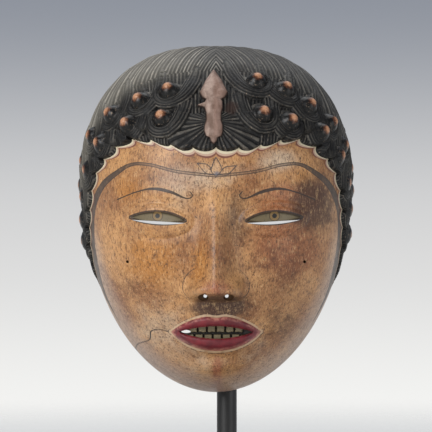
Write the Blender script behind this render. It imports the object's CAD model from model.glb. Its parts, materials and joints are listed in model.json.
"""The looks of a carved and painted dance mask on its black steel stand."""
import json
import math

import bmesh
import bpy
import numpy as np
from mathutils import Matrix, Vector

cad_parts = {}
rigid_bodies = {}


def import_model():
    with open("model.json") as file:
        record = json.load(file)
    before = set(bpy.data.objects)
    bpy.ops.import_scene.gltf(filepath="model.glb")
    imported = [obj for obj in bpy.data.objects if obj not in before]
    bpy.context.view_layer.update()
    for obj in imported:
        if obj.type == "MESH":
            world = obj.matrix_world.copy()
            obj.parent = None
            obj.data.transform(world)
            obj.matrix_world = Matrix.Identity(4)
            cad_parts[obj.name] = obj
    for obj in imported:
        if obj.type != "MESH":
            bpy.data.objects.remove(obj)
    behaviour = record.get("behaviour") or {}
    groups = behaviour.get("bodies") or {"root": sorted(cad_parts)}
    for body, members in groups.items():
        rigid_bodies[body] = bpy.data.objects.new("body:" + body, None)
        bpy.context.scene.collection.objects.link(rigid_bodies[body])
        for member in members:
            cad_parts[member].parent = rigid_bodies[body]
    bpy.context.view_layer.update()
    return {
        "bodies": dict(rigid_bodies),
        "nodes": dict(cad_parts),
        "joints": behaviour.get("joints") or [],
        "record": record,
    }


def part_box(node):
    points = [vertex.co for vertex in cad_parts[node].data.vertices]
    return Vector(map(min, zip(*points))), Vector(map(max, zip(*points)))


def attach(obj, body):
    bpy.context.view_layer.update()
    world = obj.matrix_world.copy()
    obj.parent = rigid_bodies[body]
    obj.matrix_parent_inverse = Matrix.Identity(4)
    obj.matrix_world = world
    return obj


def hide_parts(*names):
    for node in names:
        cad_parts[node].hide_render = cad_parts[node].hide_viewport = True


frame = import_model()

# The foot: a square plate of mild steel with eased upper edges, sprayed satin black.
# The spray leaves a fine orange peel, and dust settles on its top.


def linear(colour):
    """An sRGB hex colour as linear red, green and blue."""
    parts = [int(colour[k:k + 2], 16) / 255 for k in (1, 3, 5)]
    return [p / 12.92 if p <= 0.04045 else ((p + 0.055) / 1.055) ** 2.4 for p in parts]


def add_node(tree, kind, settings=None, feeds=None, out=0):
    """A shader node with its settings and links; gives back one of its outputs."""
    made = tree.nodes.new("ShaderNode" + kind)
    for name, value in (settings or {}).items():
        if isinstance(name, str) and hasattr(made, name):
            setattr(made, name, value)
        else:
            made.inputs[name].default_value = value
    for name, socket in (feeds or {}).items():
        tree.links.new(socket, made.inputs[name])
    return made.outputs[out]


def new_material(name):
    """A material with its node tree, its shader and the place on the piece."""
    made = bpy.data.materials.new(name)
    made.use_nodes = True
    tree = made.node_tree
    place = add_node(tree, "TexCoord", out=3)
    return made, tree, tree.nodes["Principled BSDF"], place


def coat(under, colour, where):
    """A coat of paint or dirt of one colour over what lies under it."""
    mixed = {"data_type": "RGBA", 7: (*linear(colour), 1)}
    return add_node(under.id_data, "Mix", mixed, {0: where, 6: under}, out=2)


def soft_edge(value, start, end, low=0.0, high=1.0):
    """low before start, high past end, smooth between."""
    span = {"interpolation_type": "SMOOTHSTEP", 1: start, 2: end, 3: low, 4: high}
    return add_node(value.id_data, "MapRange", span, {0: value})


def both(first, second):
    return add_node(first.id_data, "Math", {"operation": "MULTIPLY"}, {0: first, 1: second})


def lerp_colour(first, second, where):
    mixed = {"data_type": "RGBA", 6: (*linear(first), 1), 7: (*linear(second), 1)}
    return add_node(where.id_data, "Mix", mixed, {0: where}, out=2)


def grain(place, size, stretch=(1, 1, 1), detail=3.0, roughness=0.55, seed=0.0):
    """Noise whose spots are about size metres across, drawn out along stretch."""
    turned = {"Scale": [1 / (size * s) for s in stretch], "Location": (seed, seed, seed)}
    spot = add_node(place.id_data, "Mapping", turned, {"Vector": place})
    look = {"Scale": 1.0, "Detail": detail, "Roughness": roughness}
    return add_node(place.id_data, "TexNoise", look, {"Vector": spot})


def finish_paint(shader, colour, roughness, relief, strength, distance):
    """Colour, roughness and a fine relief on the shader."""
    links = colour.id_data.links
    links.new(colour, shader.inputs["Base Color"])
    if isinstance(roughness, float):
        shader.inputs["Roughness"].default_value = roughness
    else:
        links.new(roughness, shader.inputs["Roughness"])
    depth = {"Strength": strength, "Distance": distance}
    bump = add_node(colour.id_data, "Bump", depth, {"Height": relief})
    links.new(bump, shader.inputs["Normal"])


steel, tree, shader, place = new_material("satin_black_sprayed_steel")
mottle = grain(place, 0.03)
peel = grain(place, 0.0007, detail=1.0)
upward = add_node(tree, "SeparateXYZ", {}, {0: add_node(tree, "NewGeometry", out=1)}, out=2)
dusty = both(soft_edge(upward, 0.5, 1.0, 0.0, 0.35), soft_edge(mottle, 0.35, 0.7))
colour = coat(lerp_colour("#121110", "#1b1a18", mottle), "#5a5752", dusty)
finish_paint(shader, colour, soft_edge(mottle, 0.2, 0.8, 0.36, 0.50), peel, 0.12, 0.0002)

foot = frame["nodes"]["stand_foot"]
for slot in foot.material_slots:
    slot.material = steel

# The rod: a round steel bar set into the foot, with a thinner bar welded on its top that is bent
# forward into the mask and ends in a crossbar under the roof of the hollow. Sprayed with the foot.
# It passes behind the mouth and the nose, and the crossbar follows the mask's inner dome.
mask_low, mask_high = (np.array(corner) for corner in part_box("mask"))
rod_low, rod_high = (np.array(corner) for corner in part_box("stand_rod"))
EYE_LINE = (mask_low[2] + mask_high[2]) / 2
MASK_HEIGHT = mask_high[2] - mask_low[2]
SHARE = MASK_HEIGHT / 0.190
MIDDLE_X = (mask_low[0] + mask_high[0]) / 2
RIM_Y = mask_high[1]
ROD_RADIUS = rod_high[1]
ROD_SIDES = 48
HANGER_RADIUS = 0.003
HANGER_SIDES = 24
HANGER_STEPS = 31
ARM_STEPS = 33
HANGER_SPREAD = math.radians(24)
HANGER_LEAN = math.radians(66)
GAP = 0.0003
WELD_LIP = 0.0006


def finish_mesh(name, shape, finish, smooth_angle=None):
    mesh = bpy.data.meshes.new(name)
    shape.to_mesh(mesh)
    shape.free()
    mesh.materials.append(finish)
    made = bpy.data.objects.new(name, mesh)
    bpy.context.scene.collection.objects.link(made)
    mesh.shade_smooth()
    if smooth_angle:
        mesh.set_sharp_from_angle(angle=smooth_angle)
    return made


MASK_WIDTH = 0.152
DOME_DEPTH = 0.078
WALL = 0.0075
HAIR_THICKNESS = 0.0025
CURL_HEIGHT = 0.0055 * SHARE
CROWN_HEIGHT = 0.0012 * SHARE
WIDEST_LINE = 0.053 * MASK_HEIGHT
BLANK_HALF_WIDTH = MASK_WIDTH / 2 - 0.8 * CURL_HEIGHT
CROWN_RISE = MASK_HEIGHT / 2 - WIDEST_LINE - HAIR_THICKNESS - CROWN_HEIGHT
CHIN_DROP = MASK_HEIGHT / 2 + WIDEST_LINE
CROWN_POWER = 2.5
CHIN_POWER = 1.95
DOME_POWER = 2.4
DEPTH_POWER = 2.1
NOSE_BASE = -0.224 * MASK_HEIGHT
MOUTH_LINE = -0.312 * MASK_HEIGHT
MM = 0.001


def in_part(points):
    """From the mask's own frame, eye line and rim plane at zero, into the part."""
    return points + np.array([MIDDLE_X, RIM_Y, EYE_LINE])


def ease(low, high, value):
    t = np.clip((value - low) / (high - low), 0, 1)
    return t * t * (3 - 2 * t)


def bell(x, z, out, up, wide, tall):
    return np.exp(-(((x - out) / wide) ** 2) - ((z - up) / tall) ** 2)


def edge_distance(turn, inset=0.0):
    """How far the outline is from the middle of the dome, turn round from +X."""
    up = np.sin(turn) > 0
    reach = np.where(up, CROWN_RISE, CHIN_DROP) - inset
    power = np.where(up, CROWN_POWER, CHIN_POWER)
    across = (np.abs(np.cos(turn)) / (BLANK_HALF_WIDTH - inset)) ** power
    along = (np.abs(np.sin(turn)) / reach) ** power
    return (across + along) ** (-1 / power)


def on_dome(turn, lean, inset=0.0):
    """Points of the dome, turn round from +X and lean away from the face's axis."""
    ring = np.sin(lean) / edge_distance(turn, inset)
    front = np.cos(lean) / (DOME_DEPTH - inset)
    low, high = np.zeros_like(turn), np.full_like(turn, MASK_HEIGHT)
    for _ in range(32):
        reach = (low + high) / 2
        inside = (reach * ring) ** DOME_POWER + (reach * np.abs(front)) ** DEPTH_POWER < 1
        low = np.where(inside, reach, low)
        high = np.where(inside, high, reach)
    across = reach * np.sin(lean) * np.cos(turn)
    height = reach * np.sin(lean) * np.sin(turn) + WIDEST_LINE
    return np.stack([across, -reach * np.cos(lean), height], axis=-1)


def dome_front(x, z, inset=0.0):
    """The y of the dome over (x, z)."""
    x, z = np.asarray(x, float), np.asarray(z, float)
    share = np.hypot(x, z - WIDEST_LINE) / edge_distance(np.arctan2(z - WIDEST_LINE, x), inset)
    return -(DOME_DEPTH - inset) * (1 - np.clip(share, 0, 1) ** DOME_POWER) ** (1 / DEPTH_POWER)


def dome_field(points):
    turn = np.arctan2(points[..., 2] - WIDEST_LINE, points[..., 0])
    ring = np.hypot(points[..., 0], points[..., 2] - WIDEST_LINE) / edge_distance(turn)
    return ring**DOME_POWER + (np.abs(points[..., 1]) / DOME_DEPTH) ** DEPTH_POWER


def dome_normal(points):
    step = 2e-5
    slopes = [dome_field(points + step * axis) - dome_field(points - step * axis) for axis in np.eye(3)]
    normal = np.stack(slopes, axis=-1)
    return normal / np.linalg.norm(normal, axis=-1, keepdims=True)


def bar(name, points, radius, sides):
    """A round bar along a run of points, with closed ends."""
    curve = bpy.data.curves.new(name, "CURVE")
    curve.dimensions = "3D"
    curve.bevel_depth = radius
    curve.bevel_resolution = sides // 2 - 2
    curve.use_fill_caps = True
    spline = curve.splines.new("POLY")
    spline.points.add(len(points) - 1)
    for slot, point in zip(spline.points, points):
        slot.co = (*point, 1.0)
    path = bpy.data.objects.new(name, curve)
    shape = bmesh.new()
    shape.from_mesh(bpy.data.meshes.new_from_object(path))
    bpy.data.objects.remove(path)
    return shape


def smooth_course(stops, count, upright=False):
    """Points at even steps of a smooth curve through the stops, which may start and end upright."""
    stops = np.array(stops, float)
    before, after = np.vstack([stops[:1], stops[:-1]]), np.vstack([stops[1:], stops[-1:]])
    slopes = (after - before) / 2
    if upright:
        slopes[0] = 0, 0, np.linalg.norm(stops[1] - stops[0])
        slopes[-1] = 0, 0, np.linalg.norm(stops[-1] - stops[-2])
    place = np.linspace(0, len(stops) - 1, count)
    leg = np.minimum(place.astype(int), len(stops) - 2)
    t = (place - leg)[:, None]
    start, end = stops[leg], stops[leg + 1]
    blend = start + (end - start) * t * t * (3 - 2 * t)
    return blend + slopes[leg] * t * (1 - t) ** 2 - slopes[leg + 1] * t * t * (1 - t)


rod_top = EYE_LINE + MOUTH_LINE - 0.004 * SHARE
turns = math.pi / 2 + HANGER_SPREAD * np.linspace(-1, 1, HANGER_STEPS)
roof = on_dome(turns, np.full_like(turns, HANGER_LEAN), WALL)
hung = in_part(roof - dome_normal(roof) * (HANGER_RADIUS + 2 * GAP))
behind_nose = in_part(np.array([0, 0.35 * RIM_Y, NOSE_BASE]))
arm_stops = [(0, 0, rod_top - 2 * HANGER_RADIUS), behind_nose, hung[HANGER_STEPS // 2]]
arm_run = smooth_course(arm_stops, ARM_STEPS, upright=True)
shape = bar("stand_rod", [(0, 0, rod_low[2]), (0, 0, rod_top)], ROD_RADIUS, ROD_SIDES)
bmesh.ops.remove_doubles(shape, verts=shape.verts, dist=1e-6)
# The end of the rod becomes one face, so that only its outer edge is eased.
cap = [face for face in shape.faces if min(v.co.z for v in face.verts) > rod_top - GAP]
bmesh.ops.dissolve_faces(shape, faces=cap)
top_edges = [edge for edge in shape.edges if min(v.co.z for v in edge.verts) > rod_top - GAP]
bmesh.ops.bevel(
    shape, geom=top_edges, offset=WELD_LIP, segments=3, profile=0.5, affect="EDGES", material=-1
)
for run, radius in ((arm_run, HANGER_RADIUS), (hung, HANGER_RADIUS)):
    piece = bpy.data.meshes.new("joined_bar")
    bar("joined_bar", run, radius, HANGER_SIDES).to_mesh(piece)
    shape.from_mesh(piece)
bmesh.ops.recalc_face_normals(shape, faces=shape.faces)
rod = finish_mesh("rod_and_hanger", shape, steel, math.radians(40))
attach(rod, "root")
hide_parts("stand_rod")

# The mask: one block of light wood, carved in front and hollowed behind, then primed and painted in
# thin coats of lacquer that are worn, specked and cracked with age.

# The face's relief, on the usual canon: eyes half way down the head and a fifth of its width each,
# the nose base and the mouth at the usual shares of the lower half.
BROW_LINE = 0.075 * MASK_HEIGHT
NOSE_ROOT = 0.045 * MASK_HEIGHT
NOSE_TIP = -0.190 * MASK_HEIGHT
CHIN_LINE = -0.425 * MASK_HEIGHT
EYE_HALF_WIDTH = MASK_WIDTH / 10
EYE_OUT = MASK_WIDTH / 5
EYE_SLANT = 0.06
NOSE_HEIGHT = 0.0150 * SHARE
NOSTRIL_OUT = 0.0066 * SHARE
NOSTRIL_RADIUS = 0.0022 * SHARE
MOUTH_HALF_WIDTH = 0.155 * MASK_WIDTH
OPENING_HALF_WIDTH = 0.130 * MASK_WIDTH
OPENING_HALF_HEIGHT = 0.0034 * SHARE
MOUTH_SWELL = 0.0036 * SHARE
TEETH_SETBACK = 0.0060
EYE_SLIT = 0.0015
PEG_HOLE_RADIUS = 0.0008
PEG_HOLE_OUT = 0.306 * MASK_WIDTH
PEG_HOLE_DROP = 0.118 * MASK_HEIGHT
PEG_HOLE_DEPTH = 0.0045
NOSTRIL_BORE = 0.0010 * SHARE


def brow_and_cheek_relief(x, z):
    side = np.abs(x)
    relief = 0.0016 * bell(side, z, 0.026, BROW_LINE - 0.1 * side, 0.022, 0.0060)
    relief -= 0.0030 * bell(side, z, 0.85 * EYE_OUT, 0.002, 0.020, 0.0095)
    relief += 0.0020 * bell(side, z, 0.037, -0.028, 0.019, 0.020)
    return relief * SHARE


def lid_edges(side):
    """Heights of the upper and lower lid over the line through both corners."""
    across = np.clip(side / EYE_HALF_WIDTH, -1, 1)
    arch = (1 - across**2) ** 0.9
    return 0.0040 * SHARE * arch * (1 - 0.12 * across), -0.0026 * SHARE * arch


def inside_lids(x, z):
    """Depth inside the eye's opening, positive between the lids."""
    side = np.abs(x) - EYE_OUT
    drop = z - EYE_SLANT * side
    upper, lower = lid_edges(side)
    return np.minimum(upper - drop, drop - lower)


def eye_relief(x, z):
    side = np.abs(x) - EYE_OUT
    drop = z - EYE_SLANT * side
    upper, _ = lid_edges(side)
    ball = 1 - (side / (1.25 * EYE_HALF_WIDTH)) ** 2 - (drop / (0.0098 * SHARE)) ** 2
    relief = 0.0042 * SHARE * np.clip(ball, 0, 1) ** 0.75
    relief -= 0.0013 * SHARE * ease(0.0, 0.0011, inside_lids(x, z))
    fold = drop - upper - 0.0030 * SHARE
    return relief - 0.0008 * SHARE * np.exp(-((fold / 0.0009) ** 2)) * (np.abs(side) < EYE_HALF_WIDTH)


def nose_relief(x, z):
    side = np.abs(x)
    down = np.clip((NOSE_ROOT - z) / (NOSE_ROOT - NOSE_TIP), 0, 1)
    bridge = 0.0030 * SHARE * ease(NOSE_ROOT + 0.016, NOSE_ROOT - 0.006, z)
    height = bridge + NOSE_HEIGHT * down**1.35 * (1 - 0.08 * down)
    half_width = (0.0064 + 0.0040 * down**2) * SHARE
    ridge = height * np.exp(-((side / half_width) ** 2))
    wings = 0.0070 * SHARE * bell(side, z, 0.0098 * SHARE, NOSE_TIP - 0.0010, 0.0046, 0.0056)
    crease = 0.0012 * SHARE * bell(side, z, 0.0150 * SHARE, NOSE_TIP - 0.001, 0.0018, 0.0060)
    tip = 0.0014 * SHARE * bell(x, z, 0, NOSE_TIP + 0.001, 0.0050, 0.0048)
    under = ease(NOSE_BASE - 0.0012, NOSE_TIP - 0.0020, z)
    return (ridge + wings + tip) * under - crease


def lip_edges(x):
    """Heights of the upper lip's top, both edges of the opening, and the lower lip's bottom."""
    lips = np.clip(1 - (x / MOUTH_HALF_WIDTH) ** 2, 0, 1)
    opening = np.clip(1 - (x / OPENING_HALF_WIDTH) ** 2, 0, 1) * OPENING_HALF_HEIGHT
    bow = 0.0011 * SHARE * np.exp(-((x / (0.0034 * SHARE)) ** 2))
    top = MOUTH_LINE + 0.0088 * SHARE * lips**0.9 - bow
    bottom = MOUTH_LINE - 0.0100 * SHARE * lips**0.8
    return top, MOUTH_LINE + opening, MOUTH_LINE - opening, bottom


def mouth_relief(x, z):
    top, above, below, bottom = lip_edges(x)
    fade = ease(MOUTH_HALF_WIDTH, MOUTH_HALF_WIDTH * 0.7, np.abs(x))
    upper = np.clip((z - above) / np.maximum(top - above, 1e-5), 0, 1)
    lower = np.clip((below - z) / np.maximum(below - bottom, 1e-5), 0, 1)
    lips = 0.0020 * np.sin(math.pi * upper) ** 0.6 + 0.0030 * np.sin(math.pi * lower) ** 0.6
    relief = lips * fade * SHARE + MOUTH_SWELL * bell(x, z, 0, MOUTH_LINE, 0.025, 0.015)
    philtrum_middle = (NOSE_BASE + MOUTH_LINE) / 2 + 0.004 * SHARE
    relief -= 0.0008 * SHARE * bell(x, z, 0, philtrum_middle, 0.0028, 0.0045)
    relief -= 0.0016 * SHARE * bell(np.abs(x), z, 1.08 * MOUTH_HALF_WIDTH, MOUTH_LINE, 0.0045, 0.006)
    relief -= 0.0024 * SHARE * bell(x, z, 0, MOUTH_LINE - 0.0135 * SHARE, 0.015, 0.0040)
    return relief + 0.0046 * SHARE * bell(x, z, 0, CHIN_LINE, 0.016, 0.011)


def face_relief(x, z):
    return brow_and_cheek_relief(x, z) + eye_relief(x, z) + nose_relief(x, z) + mouth_relief(x, z)


# The hairline, where the cap of hair steps up from the face in a row of scallops: degrees round from
# the parting, and degrees away from the face's axis.
HAIRLINE = (
    (0, 20), (23, 21.5), (36, 25), (44, 31), (49, 37), (56, 45), (66, 51.5), (77, 61), (87, 66), (97, 69.5),
    (106, 75.5), (117, 82), (127, 90), (137, 101),
)
HAIR_STEP = 0.0014
LOBE_LENGTH = 0.0118 * SHARE
LOBE_DEPTH = 0.0030 * SHARE
SIDE_LOBE_DEPTH = 0.0052 * SHARE


def from_parting(turn):
    """Angle round the dome from the parting, minus to the viewer's left."""
    round_top = math.pi / 2 - turn
    return np.arctan2(np.sin(round_top), np.cos(round_top))


def hairline_lean(away):
    turns, leans = np.radians(np.array(HAIRLINE, float).T)
    soft = math.radians(2)
    return sum(np.interp(np.abs(away) + k * soft, turns, leans) for k in (-1, 0, 1)) / 3


def lobed_lean(away):
    turns = np.radians(np.arange(141.0))
    leans = hairline_lean(turns)
    legs = np.hypot(np.sin(leans[1:]) * np.diff(turns), np.diff(leans)) * DOME_DEPTH
    run = np.interp(np.abs(away), turns, np.append(0, np.cumsum(legs)))
    edge = hairline_lean(away)
    depth = LOBE_DEPTH + (SIDE_LOBE_DEPTH - LOBE_DEPTH) * ease(math.radians(24), math.radians(42), edge)
    return edge - depth / DOME_DEPTH * np.abs(np.sin(math.pi * run / LOBE_LENGTH)) ** 0.6


def past_hairline(away, lean):
    """Distance along the dome from the scalloped hairline, positive in the hair."""
    return (lean - lobed_lean(away)) * DOME_DEPTH


FACE_SEGMENTS = 400
FACE_CROWDING = 0.28
MOUTH_CORNER_GAP = 0.0011
CRACK = (
    (-25.5, -59.2), (-30, -58.4), (-34.4, -59.4), (-35.2, -64), (-39.4, -66), (-42.4, -67.6), (-43.6, -71),
    (-41.4, -75.5),
)


def new_grid(columns, rows):
    """A flat grid and the places of its points, -1 to 1 both ways."""
    shape = bmesh.new()
    bmesh.ops.create_grid(shape, x_segments=columns, y_segments=rows, size=1.0)
    return shape, np.array([v.co[:2] for v in shape.verts])


def grid_directions(grid, crowding):
    """Turn and lean of a square grid whose poles are the crown and the chin on the rim. A higher
    crowding draws the lines together in the middle of the face."""
    crowded = grid * (1 - crowding + crowding * grid**2)
    swing, tilt = crowded.T * (math.pi / 2) * (1 - 1e-9)
    across = np.sin(swing) * np.cos(tilt)
    front = np.cos(swing) * np.cos(tilt)
    return np.arctan2(np.sin(tilt), across), np.arccos(np.clip(front, -1, 1))


def set_points(shape, points):
    for vert, point in zip(shape.verts, in_part(points)):
        vert.co = point


def own_points(mesh):
    """The mesh's points in the mask's own frame."""
    places = np.empty(3 * len(mesh.vertices))
    mesh.vertices.foreach_get("co", places)
    return places.reshape(-1, 3) - in_part(np.zeros(3))


def add_values(mesh, values):
    """Numbers on the mesh's points, which the paint reads."""
    for name, numbers in values.items():
        layer = mesh.attributes.new(name, "FLOAT", "POINT")
        layer.data.foreach_set("value", np.asarray(numbers, np.float32))


def lens(half_width, above, below, middle, slant=0.0, count=20):
    """A closed outline of two bowed edges that meet at its ends."""
    across = [math.cos(math.pi * k / count) for k in range(count + 1)]
    top = [(c, above * (1 - c * c)) for c in across]
    bottom = [(c, -below * (1 - c * c)) for c in across[-2:0:-1]]
    slope = slant * half_width
    return [(middle[0] + half_width * c, middle[1] + rise + slope * c) for c, rise in top + bottom]


def oval(half_width, half_height, middle, count=24):
    turns = [2 * math.pi * k / count for k in range(count)]
    return [(middle[0] + half_width * math.cos(a), middle[1] + half_height * math.sin(a)) for a in turns]


def pierce(shape, outline, floor=None, closed=False):
    """Cuts a bowed-out outline of (x, z) through a surface, with walls back to y = floor(x, z), and
    closes it there if it is blind."""
    corners = [Vector(in_part(np.array([x, 0.0, z]))) for x, z in outline]
    middle = sum(corners, Vector()) / len(corners)
    reach = max((corner - middle).xz.length for corner in corners) + 2 * MM
    region = {face for face in shape.faces if (face.calc_center_median() - middle).xz.length < reach}
    sides = []
    for start, end in zip(corners, corners[1:] + corners[:1]):
        across = (end - start).cross(Vector((0, 1, 0))).normalized()
        across *= -1 if across.dot(middle - start) > 0 else 1
        sides.append((start, across))
        halfway, near = (start + end) / 2, (end - start).length / 2 + 0.7 * MM
        beside = [face for face in region if (face.calc_center_median() - halfway).xz.length < near]
        geom = {item for face in beside for item in (face, *face.edges, *face.verts)}
        cut = bmesh.ops.bisect_plane(shape, geom=list(geom), plane_co=start, plane_no=across, dist=1e-7)
        region |= {item for item in cut["geom"] if isinstance(item, bmesh.types.BMFace)}
    gone = set()
    for face in region:
        centre = face.calc_center_median()
        if all(across.dot(centre - start) < 1e-7 for start, across in sides):
            gone.add(face)
    edge = [e for e in {e for face in gone for e in face.edges} if not set(e.link_faces) <= gone]
    bmesh.ops.delete(shape, geom=list(gone), context="FACES")
    if floor is None:
        return
    drawn = bmesh.ops.extrude_edge_only(shape, edges=edge)["geom"]
    for item in drawn:
        if isinstance(item, bmesh.types.BMVert):
            item.co.y = RIM_Y + floor(item.co.x - MIDDLE_X, item.co.z - EYE_LINE)
        if isinstance(item, bmesh.types.BMFace):
            item.material_index = 1
    if closed:
        rim = [item for item in drawn if isinstance(item, bmesh.types.BMEdge) and item.is_boundary]
        filled = bmesh.ops.contextual_create(shape, geom=rim)["faces"]
        for face in filled:
            face.material_index = 1


def inner_face(x, z):
    return float(dome_front(x, z, WALL))


def lip_surface(x, z):
    return dome_front(x, z) - face_relief(x, z)


def mouth_floor(x, z):
    return max(TEETH_PLANE + 0.3 * MM, float(lip_surface(x, z)) + 0.5 * MM)


def peg_hole_floor(x, z):
    return float(dome_front(x, z)) + PEG_HOLE_DEPTH


def face_outward(shape, outward=1):
    """Turns every face away from the dome's middle, or towards it."""
    middle = Vector(in_part(np.array([0, 0, WIDEST_LINE])))
    shape.normal_update()
    lean = sum(face.normal.dot(face.calc_center_median() - middle) for face in shape.faces)
    if lean * outward < 0:
        bmesh.ops.reverse_faces(shape, faces=shape.faces)


SLITS, NOSTRILS, BORES, PEG_HOLES = [], [], [], []
NOSTRIL_LINE = (NOSE_TIP + NOSE_BASE) / 2 - 0.0012 * SHARE
for side in (-1, 1):
    eye_middle = side * EYE_OUT, -0.0012 * SHARE
    SLITS.append(lens(0.94 * EYE_HALF_WIDTH, 0.0, EYE_SLIT, eye_middle, side * EYE_SLANT))
    NOSTRILS.append(oval(1.25 * NOSTRIL_RADIUS, 0.85 * NOSTRIL_RADIUS, (side * NOSTRIL_OUT, NOSTRIL_LINE)))
    bore_middle = side * 0.85 * NOSTRIL_OUT, NOSTRIL_LINE + 0.3 * NOSTRIL_BORE
    BORES.append(oval(NOSTRIL_BORE, NOSTRIL_BORE, bore_middle, 16))
    PEG_HOLES.append(oval(PEG_HOLE_RADIUS, PEG_HOLE_RADIUS, (side * PEG_HOLE_OUT, -PEG_HOLE_DROP), 12))
MOUTH = lens(OPENING_HALF_WIDTH, OPENING_HALF_HEIGHT, OPENING_HALF_HEIGHT, (0.0, MOUTH_LINE))
MOUTH_CORNER = oval(2.4 * MOUTH_CORNER_GAP, MOUTH_CORNER_GAP, (-0.8 * OPENING_HALF_WIDTH, MOUTH_LINE), 16)
TEETH_PLANE = float(dome_front(0.0, MOUTH_LINE)) - MOUTH_SWELL + TEETH_SETBACK
NOSTRIL_PLANE = float(dome_front(0.0, NOSTRIL_LINE)) - 0.001


def nearest_on(course, points, normals=None):
    """Distance of each point from a course, seen along the normals, and how far along it, 0 to 1."""
    nearest = np.full(len(points), np.inf)
    along = np.zeros(len(points))
    for k, (start, end) in enumerate(zip(course, course[1:])):
        leg = end - start
        t = np.clip((points - start) @ leg / leg.dot(leg), 0, 1)
        off = points - start - t[:, None] * leg
        if normals is not None:
            off -= normals * (off * normals).sum(axis=1, keepdims=True)
        distance = np.linalg.norm(off, axis=1)
        nearer = distance < nearest
        nearest = np.where(nearer, distance, nearest)
        along = np.where(nearer, (k + t) / (len(course) - 1), along)
    return nearest, along


def nearest_line(x, z, stops, count=24):
    """Distance in mm from a smooth line through stops in mm, and how far along it."""
    course = smooth_course(stops, count) * MM * SHARE
    nearest, along = nearest_on(course, np.stack([x, z], axis=-1))
    return nearest / MM, along


# Painted lines in mm from the nose and the eye line, on one side: the headband that runs over the
# forehead and down both temples, its lotus, the thin brows and the curls round the nose wings.
BAND = (
    (0, 22.4), (20, 24.6), (34, 28.2), (44, 28.6), (52, 24.5), (60, 18), (65.2, 8), (66.9, -4), (65.8, -20),
    (60.6, -40), (50, -60),
)
BROW = (
    (13.6, 14.2), (12.2, 12.4), (13.4, 10.9), (16.5, 11.0), (24, 14.2), (33, 15.8), (42, 14.0), (52, 10.2),
)
NOSE_CURL = ((10.5, -25.5), (13.5, -27.2), (16.6, -31.5), (17.2, -37.0), (14.0, -41.0), (9.5, -40.5))
LOTUS = (
    ((-0.6, 22.6), (-2.5, 25.0), (-1.7, 28.2), (-0.1, 32.0)),
    ((0.6, 22.6), (2.9, 25.2), (2.1, 28.4), (-0.1, 32.0)),
    ((-1.0, 22.9), (-5.0, 23.6), (-7.6, 26.2), (-9.8, 29.0)),
    ((-2.4, 26.2), (-4.6, 28.2), (-7.0, 28.8), (-9.8, 29.0)),
    ((1.0, 22.9), (5.8, 22.9), (7.8, 24.6), (10.6, 27.6)),
    ((2.8, 25.2), (4.8, 26.9), (7.4, 27.4), (10.6, 27.6)),
)
# Where the paint is tinted: share, place out and up in mm, and size out and up.
TINTS = {
    "pale": (
        (0.75, -8, 22, 26, 9), (0.5, -18, 8, 8, 8), (0.7, -30, -58, 20, 18), (0.45, 22, -72, 16, 14),
        (0.9, 33, 31, 13, 7), (0.5, -8, -78, 14, 10),
    ),
    "amber": ((1, -33, -22, 17, 17), (0.8, -46, 16, 9, 9), (0.7, 42, 22, 12, 6), (0.8, -8, -22, 6, 14)),
    "dusky": (
        (1.5, 52, 8, 13, 15), (0.6, 34, -24, 20, 20), (0.6, 36, -58, 14, 14), (0.5, -44, -34, 12, 8),
        (0.9, 11, 2, 8, 15),
    ),
    "ruddy": ((1.2, 38, -14, 22, 20), (0.9, 36, 12, 16, 8)),
    "soot": ((1.3, 1.5, -46.5, 15, 6), (0.5, 3, -42, 12, 4)),
    "smudge": ((1, 0.4, 23.6, 2.2, 1.5),),
    "red": ((1, 0.5, -82, 3.2, 12), (0.8, 0, -36, 9, 6), (0.7, 0, -93, 12, 4)),
}
CHIPS = ((-41.6, -76.4, 1.7, 0.7), (-38.4, -79.6, 1.3, 0.6))


def paint_values(x, z, past):
    """What is painted where: distances in mm, positive inside, and shares of tints."""
    side = np.abs(x)
    away, along = nearest_line(side, z, BAND, 60)
    band = (0.85 + 0.75 * ease(0.25, 0.5, along)) * ease(1.0, 0.8, along) - away
    bold = ease(0.10, 0.40, along)
    brow, along = nearest_line(side, z, BROW, 40)
    ink = 0.32 + 0.55 * bell(along, 0, 0.62, 0, 0.14, 1) - brow
    curl, along = nearest_line(side, z, NOSE_CURL)
    ink = np.maximum(ink, 0.20 - curl)
    lids = inside_lids(x, z) / MM
    over = np.abs(lids + 0.25) + 20 * np.clip(np.abs(side - EYE_OUT) - 1.02 * EYE_HALF_WIDTH, 0, 1) / MM
    ink = np.maximum(ink, 0.42 - over)
    sketch = np.max([0.30 - nearest_line(x, z, petal, 16)[0] for petal in LOTUS], axis=0)
    top, above, below, bottom = lip_edges(x)
    lips = np.minimum(top - z, z - bottom) / MM
    ends = np.hypot(np.maximum(side - MOUTH_HALF_WIDTH, 0), z - MOUTH_LINE) / MM
    lips = np.where(side > MOUTH_HALF_WIDTH, -ends, lips)
    ink = np.maximum(ink, 0.20 - np.abs(lips + 1.5))
    iris = 3.0 - np.hypot(side - EYE_OUT, z - 0.0017) / MM
    crack = 0.30 - nearest_line(x, z, CRACK)[0]
    mm_x, mm_z = x / MM, z / MM
    tints = {}
    for name, spots in TINTS.items():
        tints[name] = sum(share * bell(mm_x, mm_z, *spot) for share, *spot in spots)
    outward = np.hypot(x, z - WIDEST_LINE) / edge_distance(np.arctan2(z - WIDEST_LINE, x))
    tints["edge"] = ease(0.80, 0.97, outward) * ease(0.02, -0.02, z)
    tints["chip"] = np.max([bell(mm_x, mm_z, *spot) for spot in CHIPS], axis=0)
    lines = {"past": past, "band": band, "bold": bold, "ink": ink, "sketch": sketch, "crack": crack}
    return tints | lines | {"lips": lips, "eye": lids, "iris": iris}


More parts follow.
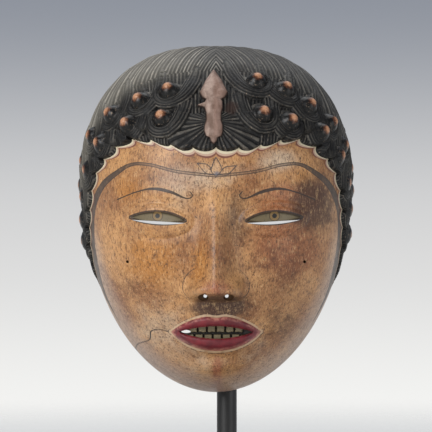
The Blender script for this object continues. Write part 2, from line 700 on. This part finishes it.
shape, grid = new_grid(FACE_SEGMENTS, FACE_SEGMENTS)
turn, lean = grid_directions(grid, FACE_CROWDING)
points = on_dome(turn, lean)
past = past_hairline(from_parting(turn), lean)
to_rim = ease(math.radians(88), math.radians(70), lean)
cleft = nearest_line(points[:, 0], points[:, 2], CRACK)[0]
points[:, 1] -= face_relief(points[:, 0], points[:, 2]) * to_rim * (past <= 0)
points[:, 1] += 0.5 * MM * np.exp(-((cleft / 0.3) ** 2))
points[(np.abs(grid) > 1 - 1e-6).any(axis=1), 1] = 0.0
set_points(shape, points)
hidden = [vert for vert, over in zip(shape.verts, past) if over > 1.2 * MM]
bmesh.ops.delete(shape, geom=hidden, context="VERTS")
for outline in SLITS:
    pierce(shape, outline, inner_face)
for outline in PEG_HOLES:
    pierce(shape, outline, peg_hole_floor, closed=True)
for outline, bore in zip(NOSTRILS, BORES):
    pierce(shape, outline, lambda x, z: NOSTRIL_PLANE, closed=True)
    pierce(shape, bore, inner_face)
pierce(shape, MOUTH, mouth_floor)
face_outward(shape)


def value_of(tree, name):
    return add_node(tree, "Attribute", {"attribute_name": name}, out=2)


def blotched(value, spots, ragged, start, end, high=1.0):
    """A share of a tint whose edge is broken up by spots."""
    centred = {"operation": "MULTIPLY_ADD", 1: ragged, 2: -ragged / 2}
    uneven = add_node(value.id_data, "Math", centred, {0: spots})
    moved = add_node(value.id_data, "Math", {"operation": "ADD"}, {0: value, 1: uneven})
    return soft_edge(moved, start, end, 0.0, high)


def covered(under, over, where):
    """One paint over another."""
    return add_node(under.id_data, "Mix", {"data_type": "RGBA"}, {0: where, 6: under, 7: over}, out=2)


skin, tree, shader, place = new_material("lacquer_paint_on_wood")
clouds = grain(place, 0.022, detail=4.0)
patches = grain(place, 0.007, detail=4.0, roughness=0.65, seed=3.1)
specks = grain(place, 0.0016, detail=3.0, roughness=0.7, seed=5.7)
flecks = grain(place, 0.0009, (1, 1, 2.2), detail=5.0, roughness=0.75, seed=9.2)
fibres = grain(place, 0.0006, (1, 1, 10), detail=4.0, roughness=0.7)
blots = grain(place, 0.0035, detail=5.0, roughness=0.75, seed=2.3)
colour = lerp_colour("#885833", "#bd8b58", soft_edge(clouds, 0.3, 0.7))
for name, tone, ragged, start, end, high in (
    ("pale", "#c6b096", 0.9, 0.2, 1.0, 0.80),
    ("amber", "#b0722a", 0.9, 0.2, 1.0, 0.75),
    ("ruddy", "#94552e", 0.9, 0.2, 1.0, 0.80),
    ("dusky", "#3c1e10", 1.3, 0.2, 1.1, 0.85),
    ("red", "#94503a", 1.0, 0.2, 0.9, 0.75),
    ("soot", "#32180f", 0.6, 0.1, 0.9, 0.92),
    ("edge", "#b3a195", 0.5, 0.2, 1.1, 0.55),
):
    tinted = blotched(value_of(tree, name), patches, ragged, start, end, high)
    colour = coat(colour, tone, tinted)
for spots, tone, start, end, high in (
    (blots, "#4c2b17", 0.52, 0.68, 0.65),
    (blots, "#d0a976", 0.46, 0.32, 0.40),
    (flecks, "#d8b282", 0.45, 0.33, 0.45),
    (flecks, "#44260f", 0.52, 0.64, 0.80),
    (fibres, "#d6b68c", 0.56, 0.72, 0.40),
    (fibres, "#38200f", 0.45, 0.32, 0.70),
    (specks, "#2a170c", 0.62, 0.70, 0.85),
):
    colour = coat(colour, tone, soft_edge(spots, start, end, 0.0, high))
band = value_of(tree, "band")
faded = soft_edge(patches, 0.25, 0.5, 0.55, 0.95)
bold = soft_edge(value_of(tree, "bold"), 0.0, 1.0, 0.45, 1.0)
filling = both(soft_edge(band, -0.1, 0.15), both(faded, bold))
colour = coat(colour, "#43372e", filling)
rims = both(soft_edge(band, -0.1, 0.1), soft_edge(band, 0.55, 0.30))
colour = coat(colour, "#3d2d25", both(rims, faded))
past = value_of(tree, "past")
under_cream = both(soft_edge(past, -2.6, -2.3), soft_edge(patches, 0.25, 0.45, 0.4, 0.9))
colour = coat(colour, "#b89a86", under_cream)
russet = both(soft_edge(past, -3.7, -3.3), soft_edge(past, -2.3, -2.6))
colour = coat(colour, "#6a3a2f", both(russet, soft_edge(patches, 0.3, 0.5, 0.6, 0.95)))
cream = both(soft_edge(past, -1.35, -1.15), soft_edge(patches, 0.25, 0.45, 0.5, 1.0))
colour = coat(colour, "#c9bda0", cream)
lips = value_of(tree, "lips")
crimson = lerp_colour("#54121a", "#7c2129", soft_edge(patches, 0.3, 0.7))
inside_lips = soft_edge(lips, -0.1, 0.1)
worn_edge = both(inside_lips, soft_edge(lips, 2.2, 0.4))
worn = both(worn_edge, soft_edge(blots, 0.38, 0.62))
colour = covered(colour, crimson, inside_lips)
colour = coat(colour, "#b27666", both(worn, soft_edge(specks, 0.30, 0.50, 0.2, 1.0)))
colour = coat(colour, "#2c0d0d", both(inside_lips, soft_edge(flecks, 0.56, 0.70, 0.0, 0.6)))
pale_hem = both(soft_edge(lips, -1.4, -1.2), soft_edge(lips, 0.0, -0.2))
colour = coat(colour, "#bfa384", both(pale_hem, soft_edge(patches, 0.3, 0.5, 0.2, 0.8)))
eye = value_of(tree, "eye")
iris = value_of(tree, "iris")
eye_paint = lerp_colour("#2b2015", "#685b40", soft_edge(eye, 0.1, 1.7))
eye_paint = coat(eye_paint, "#3b2c1a", soft_edge(iris, 0.0, 0.25, 0.0, 0.9))
iris_ring = both(soft_edge(iris, 0.4, 0.7), soft_edge(iris, 1.9, 1.6))
eye_paint = coat(eye_paint, "#7a6036", iris_ring)
eye_paint = coat(eye_paint, "#110d0a", soft_edge(iris, 1.7, 1.9))
eye_paint = coat(eye_paint, "#2a2118", soft_edge(flecks, 0.52, 0.66, 0.0, 0.5))
colour = covered(colour, eye_paint, soft_edge(eye, 0.1, 0.3))
colour = coat(colour, "#62646e", soft_edge(value_of(tree, "smudge"), 0.2, 1.0, 0.0, 0.75))
sketched = soft_edge(value_of(tree, "sketch"), -0.12, 0.12)
colour = coat(colour, "#463b38", both(sketched, soft_edge(patches, 0.3, 0.5, 0.65, 0.95)))
colour = coat(colour, "#241a15", soft_edge(value_of(tree, "ink"), -0.1, 0.1, 0.0, 0.92))
colour = coat(colour, "#1c1009", soft_edge(value_of(tree, "crack"), -0.15, 0.1))
colour = coat(colour, "#3a2417", blotched(value_of(tree, "chip"), flecks, 0.6, 0.30, 0.45))
colour = coat(colour, "#cdb594", blotched(value_of(tree, "chip"), flecks, 0.6, 0.50, 0.62))
relief = add_node(tree, "Math", {"operation": "ADD"}, {0: fibres, 1: flecks})
finish_paint(shader, colour, soft_edge(patches, 0.3, 0.7, 0.42, 0.60), relief, 0.35, 0.0003)
shader.inputs["Specular IOR Level"].default_value = 0.35
shader.inputs["Coat Weight"].default_value = 0.25
shader.inputs["Coat Roughness"].default_value = 0.32

bare, tree, shader, place = new_material("bare_aged_wood")
fibres = grain(place, 0.0012, (1, 1, 14), detail=4.0, roughness=0.65)
clouds = grain(place, 0.02, detail=3.0)
colour = lerp_colour("#5c4029", "#8a6844", fibres)
colour = coat(colour, "#3b281a", soft_edge(clouds, 0.45, 0.75, 0.0, 0.6))
gouges = grain(place, 0.009, (1, 1, 2.2), detail=0.0)
relief = add_node(tree, "Math", {"operation": "MULTIPLY_ADD", 1: 0.15}, {0: fibres, 2: gouges})
finish_paint(shader, colour, 0.75, relief, 0.6, 0.0012)

face = finish_mesh("mask_face", shape, skin, math.radians(50))
face.data.materials.append(bare)
points = own_points(face.data)
turn = np.arctan2(points[:, 2] - WIDEST_LINE, points[:, 0])
fronts = dome_front(points[:, 0], points[:, 2])
lean = np.arctan2(np.hypot(points[:, 0], points[:, 2] - WIDEST_LINE), -fronts)
past = past_hairline(from_parting(turn), lean) / MM
add_values(face.data, paint_values(points[:, 0], points[:, 2], past))
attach(face, "root")
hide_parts("mask")

# The teeth: carved in the floor of the mouth, two rows of low blocks, stained olive between dark gaps.
TOOTH_PITCH = 0.0048 * SHARE
TOOTH_RISE = 0.0028
TOOTH_FLOOR = TEETH_PLANE + 0.2 * MM
TOOTH_COLUMNS, TOOTH_ROWS = 240, 60
shape, grid = new_grid(TOOTH_COLUMNS, TOOTH_ROWS)
x, drop = (grid * np.array([OPENING_HALF_WIDTH + 0.9 * MM, OPENING_HALF_HEIGHT + 0.9 * MM])).T
within = np.abs((x / TOOTH_PITCH) % 1 - 0.5) * 2
within_low = np.abs((x / TOOTH_PITCH + 0.35) % 1 - 0.5) * 2
upper = ease(0.95, 0.72, within) * ease(-0.3 * MM, 0.3 * MM, drop + 0.15 * MM * np.cos(9 * x / TOOTH_PITCH))
lower = 0.6 * ease(0.95, 0.7, within_low) * ease(-0.9 * MM, -1.4 * MM, drop)
tooth = np.maximum(upper, lower) * ease(0.80, 0.62, np.abs(x) / OPENING_HALF_WIDTH)
floor = np.maximum(TOOTH_FLOOR - TOOTH_RISE * tooth, lip_surface(x, drop + MOUTH_LINE) + 0.7 * MM)
set_points(shape, np.stack([x, floor, drop + MOUTH_LINE], axis=-1))
pierce(shape, MOUTH_CORNER, inner_face)
face_outward(shape)

teeth_paint, tree, shader, place = new_material("stained_tooth_paint")
patches = grain(place, 0.0018, detail=3.0)
colour = lerp_colour("#5a4f3a", "#8a7c5c", patches)
dark = lerp_colour("#171310", "#2a221b", patches)
colour = covered(dark, colour, soft_edge(value_of(tree, "tooth"), 0.25, 0.7))
finish_paint(shader, colour, 0.5, patches, 0.2, 0.0002)
teeth = finish_mesh("mask_teeth", shape, teeth_paint, math.radians(60))
teeth.data.materials.append(bare)
places = own_points(teeth.data)
add_values(teeth.data, {"tooth": (TOOTH_FLOOR - places[:, 1]) / TOOTH_RISE})
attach(teeth, "root")
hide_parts("mask")

# The hair: carved from the same block, a cap of combed strands that run from the parting round the
# head, two rows of snail curls whose locks hook under them, small fans along the forehead and a
# tuft on the parting. Painted black over the wood and worn on its crests.

# Each row of curls: side, count, degrees from the parting to the first curl, step and how it closes
# up, and degrees over the hairline near the parting and far from it.
CURL_ROWS = (
    (-1, 6, 23.5, 14.2, 0.45, 24.0, 17.0),
    (-1, 7, 33.0, 16.6, 0.70, 12.5, 6.5),
    (1, 7, 19.0, 13.2, 0.35, 28.0, 16.0),
    (1, 7, 28.5, 14.8, 0.35, 13.5, 6.5),
)
CURL_RADIUS = 0.0072 * SHARE
KNOB_RADIUS = 0.0056 * SHARE
KNOB_RISE = 0.20
KNOB_TURNS = 1.6
LOCK_COURSE = (
    (-2.7, 1.9), (-2.2, 0.9), (-1.6, 0.0), (-0.8, -0.75), (0.1, -1.0), (0.8, -0.65), (1.02, -0.05),
    (0.85, 0.5), (0.4, 0.8),
)
LOCK_HALF_WIDTH = 0.0062 * SHARE
LOCK_HEIGHT = 0.0027 * SHARE
LOCK_TAPER = 0.74
SIDE_FLATTENING = 0.6
TUFT_X = -0.0012 * SHARE
TUFT = (
    (0.199, 0.0), (0.208, 0.010), (0.217, 0.012), (0.221, 0.022), (0.234, 0.027), (0.247, 0.027),
    (0.263, 0.022), (0.282, 0.022), (0.298, 0.027), (0.303, 0.046), (0.309, 0.028), (0.319, 0.022),
    (0.324, 0.032), (0.338, 0.040), (0.371, 0.024), (0.406, 0.0),
)
TUFT_HEIGHT = 0.0030 * SHARE
BROKEN_BARB = 0.026
BARB_TOP = 0.315
HAIR_ROWS = 300
HAIR_COLUMNS = 320
HAIR_TURN = math.radians(128)
STRAND_PITCH = 0.0018 * SHARE
STRAND_DEPTH = 0.0007
UNEVEN_WEAR = 0.382
COMBED_WIDTH = 0.0108 * SHARE
COMBED_HEIGHT = 0.0008 * SHARE
FAN_TOP = 0.262 * MASK_HEIGHT
FAN_REACH = 0.0270 * SHARE


def wander(points, size, seed=0.0):
    """A smooth unevenness of about -1 to 1, whose swells are about size across."""
    x, y, z = (points / size + seed).T
    return (np.sin(x + 1.7 * np.sin(0.8 * z)) + np.sin(1.3 * z + 1.1 * np.sin(y)) + np.sin(y - x)) / 3


def surface_frame(turn, lean, side):
    """A point of the dome with the way out from the parting, the way up and the normal."""
    point, further = on_dome(np.array([turn, turn + 0.01 * side]), np.array([lean, lean]))
    normal = dome_normal(point[None])[0]
    out = further - point
    out -= normal * out.dot(normal)
    out /= np.linalg.norm(out)
    return point, out, -side * np.cross(normal, out), normal


def curl_frames():
    """The place and the axes of each curl, row by row."""
    for side, count, first, step, closing, near, far in CURL_ROWS:
        for k in range(count):
            away = math.radians(first + step * k - closing * k * k)
            nearness = float(ease(math.radians(60), math.radians(30), away))
            lean = float(hairline_lean(away)) + math.radians(far + (near - far) * nearness)
            yield surface_frame(math.pi / 2 - side * away, lean, -side)


def lock_form(points, normals, frame):
    """Height and strand place of a lock that dips and hooks up round its curl."""
    centre, out, up, _ = frame
    spine = [centre + CURL_RADIUS * (a * out + b * up) for a, b in smooth_course(LOCK_COURSE, 22)]
    nearest, along = nearest_on(spine, points, normals)
    taper = (1 - LOCK_TAPER * along) * ease(-0.12, 0.30, along)
    section = np.sqrt(np.clip(1 - (nearest / (LOCK_HALF_WIDTH * taper)) ** 2, 0, 1))
    return LOCK_HEIGHT * section * ease(-0.05, 0.5, along), nearest / (1 - LOCK_TAPER * along) ** 0.6


def knob_share(across, rise):
    """How far up a leaning cone a point is, 0 at its foot and 1 at its tip."""
    tip = KNOB_RISE * KNOB_RADIUS
    a = tip**2 - KNOB_RADIUS**2
    b = 2 * (KNOB_RADIUS**2 - rise * tip)
    c = across**2 + rise**2 - KNOB_RADIUS**2
    return np.where(c < 0, (np.sqrt(np.maximum(b**2 - 4 * a * c, 0)) - b) / (2 * a), 0)


def curl_form(points, frame):
    """Height and knob share of a snail curl, with the groove that winds up it."""
    centre, out, up, normal = frame
    off = points - centre
    across, rise = off @ out, off @ up
    near = np.abs(off @ normal) < 2 * CURL_RADIUS
    share = knob_share(across, rise) * near
    bed = np.clip(1 - np.hypot(across, rise) / CURL_RADIUS, 0, 1) * near
    winding = np.arctan2(rise - KNOB_RISE * KNOB_RADIUS * share, across) / (2 * math.pi)
    groove = np.abs(np.sin(math.pi * (winding + KNOB_TURNS * share))) ** 0.5
    groove = 1 - (1 - groove) * ease(0.0, 0.12, share) * ease(0.95, 0.7, share)
    height = CURL_HEIGHT * (0.25 * bed + 0.9 * np.sin(0.5 * math.pi * np.clip(share, 0, 1)) ** 0.6)
    return height - 0.8 * STRAND_DEPTH * (1 - groove), share


def tuft_share(x, z):
    heights, widths = np.array(TUFT).T * MASK_HEIGHT
    half_width = np.interp(z, heights, widths)
    broken = (x > TUFT_X) & (z < BARB_TOP * MASK_HEIGHT)
    half_width = np.where(broken, np.minimum(half_width, BROKEN_BARB * MASK_HEIGHT), half_width)
    return np.sqrt(np.clip((half_width - np.abs(x - TUFT_X)) / (0.016 * MASK_HEIGHT), 0, 1))


def combed_place(side, lean):
    """Place across the strands that run forward over the crown and away from the parting."""
    return (lean + 0.25 * side + 1.25 * np.tanh(side / 0.62)) * 0.62 * DOME_DEPTH


def combed_height(place):
    return CROWN_HEIGHT - COMBED_HEIGHT * (1 - np.abs(np.sin(math.pi * place / COMBED_WIDTH)) ** 0.6)


def crown_share(away, lean):
    """1 where the hair is combed smooth over the crown, 0 among the curls and down the sides."""
    above_curls = ease(math.radians(54), math.radians(66), lean + 0.12 * np.cos(2.2 * away))
    return above_curls * ease(math.radians(100), math.radians(70), np.abs(away))


def hair_form(points, normals, away, lean, past):
    """Height of the hair over the dome, and the shares that the paint reads."""
    side = np.abs(away)
    combed = combed_place(side, lean)
    crown = crown_share(away, lean)
    strand = np.where(crown > 0.5, 0.66 * combed, side * np.sin(lean) * DOME_DEPTH)
    height = HAIR_THICKNESS * (0.62 + 0.38 * crown) + crown * combed_height(combed)
    fan_x, fan_z = points[:, 0] - TUFT_X, points[:, 2] - FAN_TOP
    fan = ease(FAN_REACH, 0.75 * FAN_REACH, np.hypot(fan_x, 0.8 * fan_z)) * (past < 0.020)
    height = np.maximum(height, HAIR_THICKNESS * fan)
    strand = np.where(fan > 0.3, np.arctan2(fan_x, -fan_z) * 0.011, strand)
    bed = height
    knobs = np.zeros(len(points))
    flat = 1 - SIDE_FLATTENING * ease(math.radians(50), math.radians(85), side)
    for frame in curl_frames():
        lock, along_lock = lock_form(points, normals, frame)
        over = (lock > 0) & (bed + lock * flat > height)
        height = np.where(over, bed + lock * flat, height)
        strand = np.where(over, along_lock, strand)
        knobs = np.where(over, 0, knobs)
        curl, share = curl_form(points, frame)
        over = (curl > 0) & (0.75 * HAIR_THICKNESS + curl * flat > height)
        height = np.where(over, 0.75 * HAIR_THICKNESS + curl * flat, height)
        knobs = np.where(over, np.maximum(share, 1e-3), knobs)
    strand = strand + 0.35 * STRAND_PITCH * wander(points, 0.008)
    ridge = np.abs(np.sin(math.pi * strand / STRAND_PITCH)) ** 0.7
    ridge = np.where(knobs > 0, 1.0, ridge)
    worn = (np.floor(strand / STRAND_PITCH) * UNEVEN_WEAR) % 1
    height = height - STRAND_DEPTH * (1 - ridge) * (0.7 + 0.5 * worn)
    tuft = tuft_share(points[:, 0], points[:, 2])
    height = np.where(tuft > 0, np.maximum(height, HAIR_THICKNESS + TUFT_HEIGHT * tuft), height)
    height = height * ease(0.0, HAIR_STEP, past) * ease(HAIR_TURN, 0.93 * HAIR_TURN, side)
    scar_middle = TUFT_X + 0.047 * MASK_HEIGHT, 0.300 * MASK_HEIGHT
    scar = bell(points[:, 0], points[:, 2], *scar_middle, 0.0042, 0.0046)
    dusty = ease(0.030, -0.045, points[:, 0])
    facet = ease(-0.0015, 0.0015, points[:, 0] - TUFT_X)
    shares = {"dusty": dusty, "worn": worn, "facet": facet, "ridge": ridge, "knob": knobs, "crown": crown}
    return height, shares | {"tuft": tuft, "scar": scar}


def hair_half(side):
    """The grid of one side of the parting, with its heights and paint shares."""
    shape, grid = new_grid(HAIR_COLUMNS, HAIR_ROWS)
    column, row = ((grid + 1) / 2).T
    away = side * column * HAIR_TURN
    hem = np.minimum(lobed_lean(away), math.pi / 2) - 0.3 * MM / DOME_DEPTH
    lean = hem + (math.pi / 2 - hem) * row * (0.65 + 0.35 * row)
    points = on_dome(math.pi / 2 - away, lean)
    normals = dome_normal(points)
    past = past_hairline(away, lean)
    height, values = hair_form(points, normals, away, lean, past)
    points += normals * np.where(past < 0, past, height)[:, None]
    points[row > 1 - 1e-6, 1] = 0.0
    set_points(shape, points)
    if side < 0:
        bmesh.ops.reverse_faces(shape, faces=shape.faces)
    return shape, values


black_hair, tree, shader, place = new_material("black_paint_on_carved_hair")
ridge = value_of(tree, "ridge")
knob = value_of(tree, "knob")
tuft = value_of(tree, "tuft")
dusty = value_of(tree, "dusty")
dust = soft_edge(grain(place, 0.008, detail=4.0, roughness=0.7), 0.3, 0.65)
flecks = grain(place, 0.0012, detail=4.0, roughness=0.75, seed=4.4)
worn = soft_edge(value_of(tree, "worn"), 0.0, 1.0, 0.35, 1.15)
crest = both(soft_edge(ridge, 0.66, 0.98), worn)
dimmed = both(soft_edge(dusty, 0.0, 1.0, 0.25, 1.0), soft_edge(dust, 0.0, 1.0, 0.4, 1.0))
combed = lerp_colour("#2a2926", "#b8b1a4", both(crest, dimmed))
combed = coat(combed, "#7b766b", soft_edge(dusty, 0.3, 1.0, 0.0, 0.50))
locks = lerp_colour("#090808", "#56524b", both(crest, dust))
colour = covered(locks, combed, value_of(tree, "crown"))
colour = coat(colour, "#0a0908", soft_edge(knob, 0.0, 0.02))
worn_crest = both(soft_edge(flecks, 0.56, 0.72), soft_edge(crest, 0.3, 1.0, 0.15, 0.8))
colour = coat(colour, "#9a8672", worn_crest)
colour = coat(colour, "#54301d", blotched(knob, flecks, 0.5, 0.44, 0.66))
colour = coat(colour, "#b08060", blotched(knob, flecks, 0.6, 0.56, 0.86))
colour = coat(colour, "#2d1c14", blotched(value_of(tree, "scar"), flecks, 0.9, 0.35, 0.8, 0.85))
mottle = grain(place, 0.0045, (1, 1, 2.5), detail=4.0, roughness=0.6, seed=1.4)
tuft_paint = lerp_colour("#6d574b", "#a89184", soft_edge(mottle, 0.3, 0.7))
tuft_paint = coat(tuft_paint, "#6a4636", soft_edge(value_of(tree, "facet"), 0.0, 1.0, 0.0, 0.45))
tuft_paint = coat(tuft_paint, "#2b1e18", soft_edge(tuft, 0.62, 0.30))
tuft_paint = coat(tuft_paint, "#33231b", soft_edge(flecks, 0.60, 0.74, 0.0, 0.7))
colour = covered(colour, tuft_paint, soft_edge(tuft, 0.1, 0.3))
tree.links.new(colour, shader.inputs["Base Color"])
tree.links.new(soft_edge(knob, 0.0, 0.3, 0.55, 0.33), shader.inputs["Roughness"])
shader.inputs["Specular IOR Level"].default_value = 0.28
for side, name in ((-1, "mask_hair_left"), (1, "mask_hair_right")):
    shape, values = hair_half(side)
    hair = finish_mesh(name, shape, black_hair)
    add_values(hair.data, values)
    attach(hair, "root")
    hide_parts("mask")

# The back: the hollow cut out with a gouge and left bare, and the flat rim round it.
BACK_SEGMENTS = 130
BACK_CROWDING = 0.1
RIM_STEPS = 900
shape, grid = new_grid(BACK_SEGMENTS, BACK_SEGMENTS)
turn, lean = grid_directions(grid, BACK_CROWDING)
points = on_dome(turn, lean, WALL)
points[(np.abs(grid) > 1 - 1e-6).any(axis=1), 1] = 0.0
set_points(shape, points)
for outline in SLITS + BORES + [MOUTH_CORNER]:
    pierce(shape, outline)
face_outward(shape, -1)
turn = np.linspace(0, 2 * math.pi, RIM_STEPS, endpoint=False)
level = np.full_like(turn, math.pi / 2)
outer, inner = on_dome(turn, level), on_dome(turn, level, WALL)
normals = dome_normal(outer)
away = from_parting(turn)
past = past_hairline(away, level)
height, _ = hair_form(outer, normals, away, level, past)
outer += normals * np.maximum(height, 0)[:, None]
rows = [[shape.verts.new(in_part(point * np.array([1, 0, 1]))) for point in row] for row in (outer, inner)]
for k in range(RIM_STEPS):
    shape.faces.new((rows[0][k], rows[1][k], rows[1][k - 1], rows[0][k - 1]))
back = finish_mesh("mask_back", shape, bare, math.radians(50))
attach(back, "root")
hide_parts("mask")

# The floor: smooth white board that fades into a paper backdrop, grey above and white below.
FLOOR_HALF = 3.0
FLOOR_FADE = (0.45, 1.1)
HORIZON_BLUE = "#8d929c"
HORIZON_GREY = "#d8d8d8"
HORIZON_WHITE = "#f4f4f2"

board, tree, shader, place = new_material("white_floor_board")
shader.inputs["Base Color"].default_value = (*linear("#e9e9e6"), 1)
shader.inputs["Roughness"].default_value = 0.6
reach = add_node(tree, "VectorMath", {"operation": "LENGTH"}, {0: place}, out=1)
clear = add_node(tree, "BsdfTransparent")
fading = soft_edge(reach, *FLOOR_FADE)
mixed = add_node(tree, "MixShader", {}, {0: fading, 1: shader.outputs[0], 2: clear})
tree.links.new(mixed, tree.nodes["Material Output"].inputs["Surface"])
floor_shape = bmesh.new()
bmesh.ops.create_grid(floor_shape, x_segments=1, y_segments=1, size=FLOOR_HALF)
floor = finish_mesh("floor", floor_shape, board)

# The studio: the backdrop as the sky, a soft box in front on the left, a weaker one on the right and
# a wide one above.
world = bpy.data.worlds.new("studio")
bpy.context.scene.world = world
world.use_nodes = True
tree = world.node_tree
rise = add_node(tree, "SeparateXYZ", {}, {0: add_node(tree, "TexCoord", out=0)}, out=2)
lower = lerp_colour(HORIZON_WHITE, HORIZON_GREY, soft_edge(rise, -0.09, 0.0))
graded = coat(lower, HORIZON_BLUE, soft_edge(rise, -0.02, 0.10))
tree.links.new(graded, tree.nodes["Background"].inputs[0])


def soft_light(name, where, size, power, aim):
    lamp = bpy.data.lights.new(name, "AREA")
    lamp.shape = "RECTANGLE"
    lamp.size, lamp.size_y = size
    lamp.energy = power
    made = bpy.data.objects.new(name, lamp)
    made.location = where
    made.rotation_euler = (Vector(aim) - Vector(where)).to_track_quat("-Z", "Y").to_euler()
    bpy.context.scene.collection.objects.link(made)


aim = (MIDDLE_X, -0.04, EYE_LINE)
soft_light("key", (-0.65, -0.85, 0.60), (0.6, 0.6), 9.5, aim)
soft_light("fill", (0.9, -0.7, 0.25), (0.6, 0.8), 2.5, aim)
soft_light("top", (0.0, 0.45, 1.3), (1.4, 1.0), 9, (0.0, 0.35, 0.0))

# The camera: a long lens straight in front of the mask.
PICTURE_OVER_MASK = 432 / 348
CAMERA_RISE = 0.0016
CAMERA_AHEAD = 0.01
camera = bpy.data.cameras.new("camera")
camera.lens = 200
camera.sensor_width = 36
view = bpy.data.objects.new("camera", camera)
distance = MASK_HEIGHT * PICTURE_OVER_MASK * camera.lens / camera.sensor_width
view.location = (MIDDLE_X, RIM_Y - CAMERA_AHEAD - distance, EYE_LINE + CAMERA_RISE)
view.rotation_euler = (math.radians(90), 0, 0)
bpy.context.scene.collection.objects.link(view)
bpy.context.scene.camera = view
bpy.context.scene.view_settings.view_transform = "Standard"
